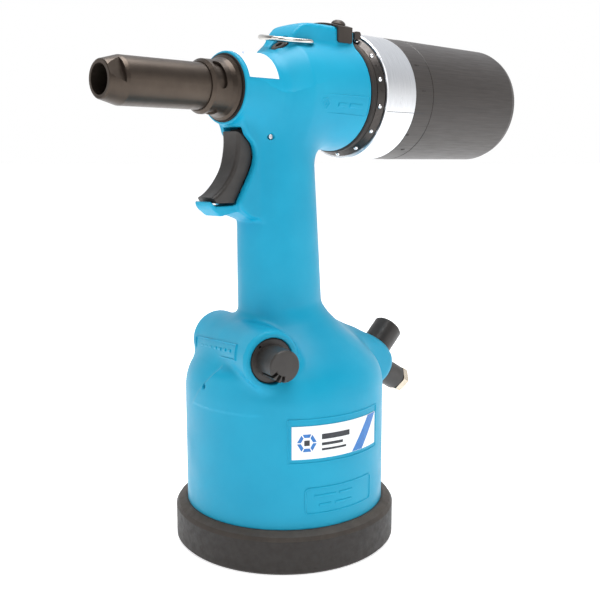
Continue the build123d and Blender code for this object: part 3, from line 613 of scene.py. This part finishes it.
def casting():
    """The blue casting, with soft blends between its parts."""
    verts, quads, normals = surface(housing, (-91, -60.5, 2.5), (62, 60.5, 300.5), 0.8)
    mesh = bpy.data.meshes.new("housing_casting")
    mesh.vertices.add(len(verts))
    mesh.vertices.foreach_set("co", (verts / 1000).astype(np.float32).ravel())
    mesh.loops.add(len(quads) * 4)
    mesh.loops.foreach_set("vertex_index", quads.astype(np.int32).ravel())
    mesh.polygons.add(len(quads))
    mesh.polygons.foreach_set("loop_start", np.arange(0, len(quads) * 4, 4, dtype=np.int32))
    mesh.update(calc_edges=True)
    mesh.validate()
    mesh.shade_smooth()
    mesh.normals_split_custom_set_from_vertices(normals.tolist())
    mesh.materials.append(MAT["blue_paint"])
    obj = bpy.data.objects.new("housing_casting", mesh)
    bpy.context.scene.collection.objects.link(obj)
    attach(obj, "gun")
    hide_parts("body_housing")
    return obj


# ------------------------------------------------------------------ wrapped trim
def on_body(u, v, out):
    a = u / BODY_R
    r = BODY_R + out
    return (r * math.cos(a), r * math.sin(a), v)


def on_head(u, v, out):
    r = 28.3 + (3 - u) / 41.7 * 4.1 + out
    a = v / 30.0
    return (u, r * math.cos(a), H + r * math.sin(a))


def on_neck(u, v, out):
    a = v / 19.5
    r = 19.75 - (u - 21) * 0.025 + out
    return (u, r * math.cos(a), H + r * math.sin(a))


def on_valve(u, v, out):
    a = v / 16.3
    r = 16.3 + out
    across = r * math.cos(a)
    return (V_AT[0] + V_DIR[0] * u + V_DIR[1] * across, V_DIR[1] * u - V_DIR[0] * across,
            V_AT[2] + r * math.sin(a))


def patch(corners, place, out, cols=16, rows=2):
    """A thin printed patch between four corners given in (u, v)."""
    a, b, c, d = (np.array(k, float) for k in corners)
    verts = []
    for j in range(rows + 1):
        for i in range(cols + 1):
            s, t = i / cols, j / rows
            p = (a * (1 - s) + b * s) * (1 - t) + (d * (1 - s) + c * s) * t
            verts.append(place(p[0], p[1], out))
    faces = []
    for j in range(rows):
        for i in range(cols):
            k = j * (cols + 1) + i
            faces.append((k, k + 1, k + cols + 2, k + cols + 1))
    return verts, faces


def join_patches(name, items, material, body="gun"):
    """One object from several patches or ribs."""
    verts, faces = [], []
    for v, f in items:
        faces += [tuple(i + len(verts) for i in face) for face in f]
        verts += v
    return add_mesh(name, verts, faces, material, body)


def rib(points, place, width, height, closed=True, step=1.2):
    """A raised line of rounded section along (u, v) points on a surface."""
    pts = [np.array(p, float) for p in points]
    if closed:
        pts.append(pts[0])
    dense = []
    for p, q in zip(pts[:-1], pts[1:]):
        n = max(1, int(np.linalg.norm(q - p) / step))
        dense += [p + (q - p) * i / n for i in range(n)]
    if not closed:
        dense.append(pts[-1])
    n = len(dense)
    profile = ((-0.5, -0.15), (-0.42, 0.6), (-0.2, 1.0), (0.2, 1.0), (0.42, 0.6), (0.5, -0.15))
    verts, faces = [], []
    for i in range(n):
        back = dense[i - 1] if closed or i else dense[i]
        ahead = dense[(i + 1) % n] if closed or i < n - 1 else dense[i]
        way = ahead - back
        side = np.array((-way[1], way[0])) / max(np.linalg.norm(way), 1e-6)
        for s, h in profile:
            p = dense[i] + side * s * width
            verts.append(place(p[0], p[1], h * height))
    m = len(profile)
    for i in range(n if closed else n - 1):
        j = (i + 1) % n
        for k in range(m - 1):
            faces.append((i * m + k, j * m + k, j * m + k + 1, i * m + k + 1))
    if not closed:
        faces.append(tuple(range(m)))
        faces.append(tuple(range((n - 1) * m + m - 1, (n - 1) * m - 1, -1)))
    return verts, faces


def rectangle(u0, u1, v0, v1, r=0.0, steps=5):
    if r <= 0:
        return [(u0, v0), (u1, v0), (u1, v1), (u0, v1)]
    pts = []
    for cu, cv, start in ((u1 - r, v0 + r, -90), (u1 - r, v1 - r, 0), (u0 + r, v1 - r, 90),
                          (u0 + r, v0 + r, 180)):
        for k in range(steps + 1):
            a = math.radians(start + 90 * k / steps)
            pts.append((cu + r * math.cos(a), cv + r * math.sin(a)))
    return pts


def dashes(u0, v, lengths, gap, place, width=1.0, height=0.28):
    """A row of short raised dashes, in place of lettering."""
    items = []
    u = u0
    for length in lengths:
        items.append(rib([(u, v), (u + length, v)], place, width, height, closed=False, step=0.8))
        u += length + gap
    return items


def embossing():
    deg = math.radians
    items = []
    u0, u1 = deg(48.6) * BODY_R, deg(109) * BODY_R
    items.append(rib(rectangle(u0, u1, 60.3, 84.6), on_body, 1.0, 0.42))
    p0, p1 = deg(57.8) * BODY_R, deg(102.5) * BODY_R
    items.append(rib(rectangle(p0, p1, 31.5, 46.0, 2.2), on_body, 1.0, 0.42))
    items += dashes(p0 + 5, 41.4, (13.0, 8.5), 2.6, on_body, 1.5, 0.42)
    items += dashes(p0 + 8, 36.2, (7.0, 11.0), 2.6, on_body, 1.5, 0.42)
    join_patches("body_embossing", items, "blue_paint")
    items = [rib(rectangle(-37.2, 3.2, deg(-24) * 30, deg(-4.2) * 30), on_head, 0.8, 0.28)]
    hexagon = [(-1.6 + 3.3 * math.cos(deg(60 * k)) - 3, deg(-14) * 30 + 3.3 * math.sin(deg(60 * k)))
               for k in range(6)]
    items.append(rib(hexagon, on_head, 1.1, 0.42))
    items.append(rib([(-4.6 + 1.3 * math.cos(deg(45 * k)), deg(-14) * 30 + 1.3 * math.sin(deg(45 * k)))
                      for k in range(8)], on_head, 0.8, 0.42, step=0.6))
    items += dashes(-32.5, deg(-14) * 30, (9.5, 6.0), 2.4, on_head, 2.4, 0.42)
    join_patches("head_embossing", items, "blue_paint")
    pad = [(-31.5, deg(-20) * 16.3), (26.0, deg(0) * 16.3), (24.0, deg(28) * 16.3),
           (-30.5, deg(10) * 16.3)]
    items = [rib(pad, on_valve, 1.0, 0.75)]
    for k in range(7):
        u = -22 + 6.2 * k
        v = deg(-2.5 + 0.36 * (u + 22)) * 16.3
        items.append(rib([(u, v), (u + 3.4, v + 0.35)], on_valve, 1.9, 0.60, closed=False, step=0.8))
    join_patches("valve_embossing", items, "blue_paint")


LABEL_FROM, LABEL_SPAN = 50.5, 56.5       # degrees round the casing
LABEL_LOW, LABEL_HIGH = 62.95, 80.9
INK_OUT = 0.52                            # above the casing, just clear of the label


def body_print():
    """Generic print on the body label: a nut mark, plain bars and a blue stripe."""
    deg = math.radians
    width = deg(LABEL_SPAN) * BODY_R

    def place(s, v, out):
        return on_body(deg(LABEL_FROM) * BODY_R + s, v, out)

    stripe = [(width - 21.5, LABEL_LOW), (width - 13.5, LABEL_LOW),
              (width - 0.3, LABEL_HIGH), (width - 8.3, LABEL_HIGH)]
    blue = [patch(stripe, place, INK_OUT, 8, 14)]
    cx, cz, inner, outer = 8.2, 71.8, 3.3, 5.4
    for k in range(6):
        a, b = deg(60 * k + 4), deg(60 * k + 56)
        side = [(cx + r * math.cos(t), cz + r * math.sin(t))
                for r, t in ((outer, a), (outer, b), (inner, b), (inner, a))]
        blue.append(patch(side, place, INK_OUT, 4, 1))
    dark = [patch(rectangle(cx - 1.5, cx + 1.5, cz - 1.5, cz + 1.5), place, INK_OUT, 3, 1)]
    for low, high, length in ((73.2, 76.2, 17.5), (69.8, 71.4, 13.0), (67.0, 68.2, 15.2)):
        dark.append(patch(rectangle(16.5, 16.5 + length, low, high), place, INK_OUT, 16, 1))
    join_patches("label_print_blue", blue, "ink_blue")
    join_patches("label_print_dark", dark, "ink_dark")


def neck_print():
    """A thin blue arc near the top of the neck label."""
    def point(turn, radius):
        t = math.radians(turn) * 2.2 - 0.3
        return 29 + radius * math.cos(t), 20.5 + radius * math.sin(t)

    arc = []
    for k in range(10):
        a, b = 62 - 5 * k, 57 - 5 * k
        corners = [point(a, 7.6), point(b, 7.6), point(b, 6.9), point(a, 6.9)]
        arc.append(patch(corners, on_neck, 0.06, 2, 1))
    join_patches("neck_print", arc, "ink_blue")


def on_barrel(radius):
    """Placement on a round of the barrel's axis: (along X, degrees above +Y, height)."""
    def place(u, v, out):
        a = math.radians(v)
        r = radius + out
        return (u, r * math.cos(a), H + r * math.sin(a))
    return place


def collector_marks():
    """Fine seam across the silver sleeve, and short moulded ticks on the black collar."""
    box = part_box("collector_sleeve")
    x0, x1 = box[0][0] * 1000, box[1][0] * 1000
    sleeve_r = (box[1][2] - box[0][2]) * 500
    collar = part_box("bottle_collar")
    collar_r = (collar[1][2] - collar[0][2]) * 500
    c0, c1 = collar[0][0] * 1000, collar[1][0] * 1000
    seam = [(x0 + 0.6, -16.0), (x1 - 0.6, -16.0), (x1 - 0.6, -15.55), (x0 + 0.6, -15.55)]
    join_patches("sleeve_seam", [patch(seam, on_barrel(sleeve_r), 0.03, 4, 1)],
                 "ink_dark", "sleeve")
    ticks = []
    place = on_barrel(collar_r)
    for along, angle, length, height in ((0.35, 30, 3.4, 1.0), (0.45, 5, 3.0, 1.0),
                                         (0.10, -38, 2.2, 2.4), (0.55, -57.4, 2.6, 2.0)):
        x = c1 - (c1 - c0) * along
        ticks.append(rib([(x - length / 2, angle), (x + length / 2, angle)],
                         place, height, 0.28, closed=False, step=0.8))
    join_patches("collar_ticks", ticks, "black_rubber", "bottle")


# ------------------------------------------------------------------ CAD pieces that show
def dress_cad():
    """Give every CAD node its finish, and soften the edges of those that show."""
    own = {"collector_bottle": "bottle", "bottle_collar": "bottle", "ball_ring": "ball_race",
           "index_balls": "steel_ball", "seal_ring": "black_rubber"}
    record = frame["record"]
    slots = {s["node"]: s.get("material_slot", s["node"]) for s in record["subparts"]}
    for name, obj in NODES.items():
        key = own.get(name, slots.get(name, "liner_steel"))
        obj.data.materials.clear()
        obj.data.materials.append(MAT[key])
    widths = {"base_bumper": 0.9, "nose_casing": 0.25, "nose_nut": 0.35, "collector_sleeve": 0.25,
              "bottle_collar": 0.25, "valve_vent_plug": 0.4, "exhaust_silencer": 0.5,
              "inlet_swivel": 0.5, "inlet_adaptor": 0.35, "saddle_plate": 0.25, "lock_block": 0.6,
              "bleed_screw": 0.3, "trigger": 0.5, "seal_ring": 0.3, "ball_ring": 0.2}
    for name, width in widths.items():
        bevel(NODES[name], width)


def springs():
    """Give each spring's CAD node its own copy of its mesh."""
    for name, joint in (("return_spring", "pull_stroke"), ("trigger_spring", "trigger_slide")):
        low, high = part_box(name)
        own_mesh(NODES[name])


# ------------------------------------------------------------------ stage
def camera():
    data = bpy.data.cameras.new("camera")
    cam = bpy.data.objects.new("camera", data)
    bpy.context.scene.collection.objects.link(cam)
    d = Vector((-0.6896, -0.7064, -0.1592)).normalized()
    r = d.cross(Vector((0, 0, 1))).normalized()
    u = r.cross(d)
    rot = Matrix((r, u, -d)).transposed().to_4x4()
    cam.matrix_world = Matrix.Translation((0.34275, 0.36448, 0.22070)) @ rot
    data.sensor_width = 36
    data.lens = 51.85
    data.clip_start = 0.01
    data.clip_end = 50
    bpy.context.scene.camera = cam


def area(name, at, target, size, power, colour=(1, 1, 1)):
    data = bpy.data.lights.new(name, "AREA")
    data.shape = "RECTANGLE"
    data.size, data.size_y = size
    data.energy = power
    data.color = colour
    obj = bpy.data.objects.new(name, data)
    bpy.context.scene.collection.objects.link(obj)
    way = (Vector(target) - Vector(at)).normalized()
    obj.rotation_euler = way.to_track_quat("-Z", "Y").to_euler()
    obj.location = at
    return obj


def world():
    """White room: bright round the horizon and below, dimmer overhead and behind the camera."""
    w = bpy.data.worlds.new("studio")
    bpy.context.scene.world = w
    w.use_nodes = True
    t = w.node_tree
    bg = next(n for n in t.nodes if n.type == "BACKGROUND")
    tc = node(t, "ShaderNodeTexCoord")
    sep = node(t, "ShaderNodeSeparateXYZ")
    t.links.new(tc.outputs["Generated"], sep.inputs["Vector"])
    up = remap(t, sep.outputs["Z"], 0, 1, 0.16, 0.45)
    front = node(t, "ShaderNodeVectorMath", operation="DOT_PRODUCT")
    front.inputs[1].default_value = (0.70, 0.71, 0.0)
    t.links.new(tc.outputs["Generated"], front.inputs[0])
    near = remap(t, front.outputs["Value"], 0, 1, -0.35, 0.2)
    above = node(t, "ShaderNodeMath", operation="MULTIPLY")
    t.links.new(near, above.inputs[0])
    t.links.new(remap(t, sep.outputs["Z"], 0, 1, 0.12, 0.26), above.inputs[1])
    overhead = mix_colour(t, up, (1.0, 1.0, 1.0), (0.80, 0.82, 0.85))
    dim = node(t, "ShaderNodeMix", data_type="RGBA")
    dim.inputs[7].default_value = (0.07, 0.07, 0.075, 1)
    t.links.new(above.outputs[0], dim.inputs[0])
    t.links.new(overhead, dim.inputs[6])
    t.links.new(dim.outputs[2], bg.inputs["Color"])
    bg.inputs["Strength"].default_value = 1.0


def floor():
    """Plain white paper, lit so that it meets the white behind it."""
    m, t, s = new_material("floor_paper")
    t.links.new(mix_colour(t, remap(t, noise(t, 3, 2), 0, 1), (0.86, 0.865, 0.87), (0.90, 0.90, 0.90)),
                s.inputs["Base Color"])
    s.inputs["Roughness"].default_value = 0.9
    s.inputs["Emission Color"].default_value = (1, 1, 1, 1)
    s.inputs["Emission Strength"].default_value = 0.70
    size = 60.0
    mesh = bpy.data.meshes.new("floor")
    mesh.from_pydata([(-size, -size, -0.0002), (size, -size, -0.0002), (size, size, -0.0002),
                      (-size, size, -0.0002)], [], [(0, 1, 2, 3)])
    mesh.materials.append(m)
    obj = bpy.data.objects.new("floor", mesh)
    bpy.context.scene.collection.objects.link(obj)
    return obj


def write_sizes():
    """The CAD box and the visual model's box, as plain lists of metres."""
    boxes = {"cad_box": CAD_BOX, "visual_box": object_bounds()}
    plain = {key: [list(map(float, corner)) for corner in box] for key, box in boxes.items()}


def main():
    dress_cad()
    casting()
    embossing()
    body_print()
    neck_print()
    collector_marks()
    springs()
    camera()
    world()
    area("overhead", (-0.05, 0.05, 1.25), (0, 0, 0.2), (0.9, 0.7), 15)
    area("key", (0.75, 1.0, 0.95), (0, 0, 0.16), (0.8, 0.9), 3.5)
    area("nose_side", (1.3, -0.1, 0.7), (0, 0, 0.18), (0.6, 0.9), 2.5)
    area("rear_side", (-0.6, 1.2, 0.5), (0, 0, 0.2), (0.5, 0.9), 1.5)
    floor()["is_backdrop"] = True
    bpy.context.scene.view_settings.view_transform = "Standard"
    write_sizes()


main()
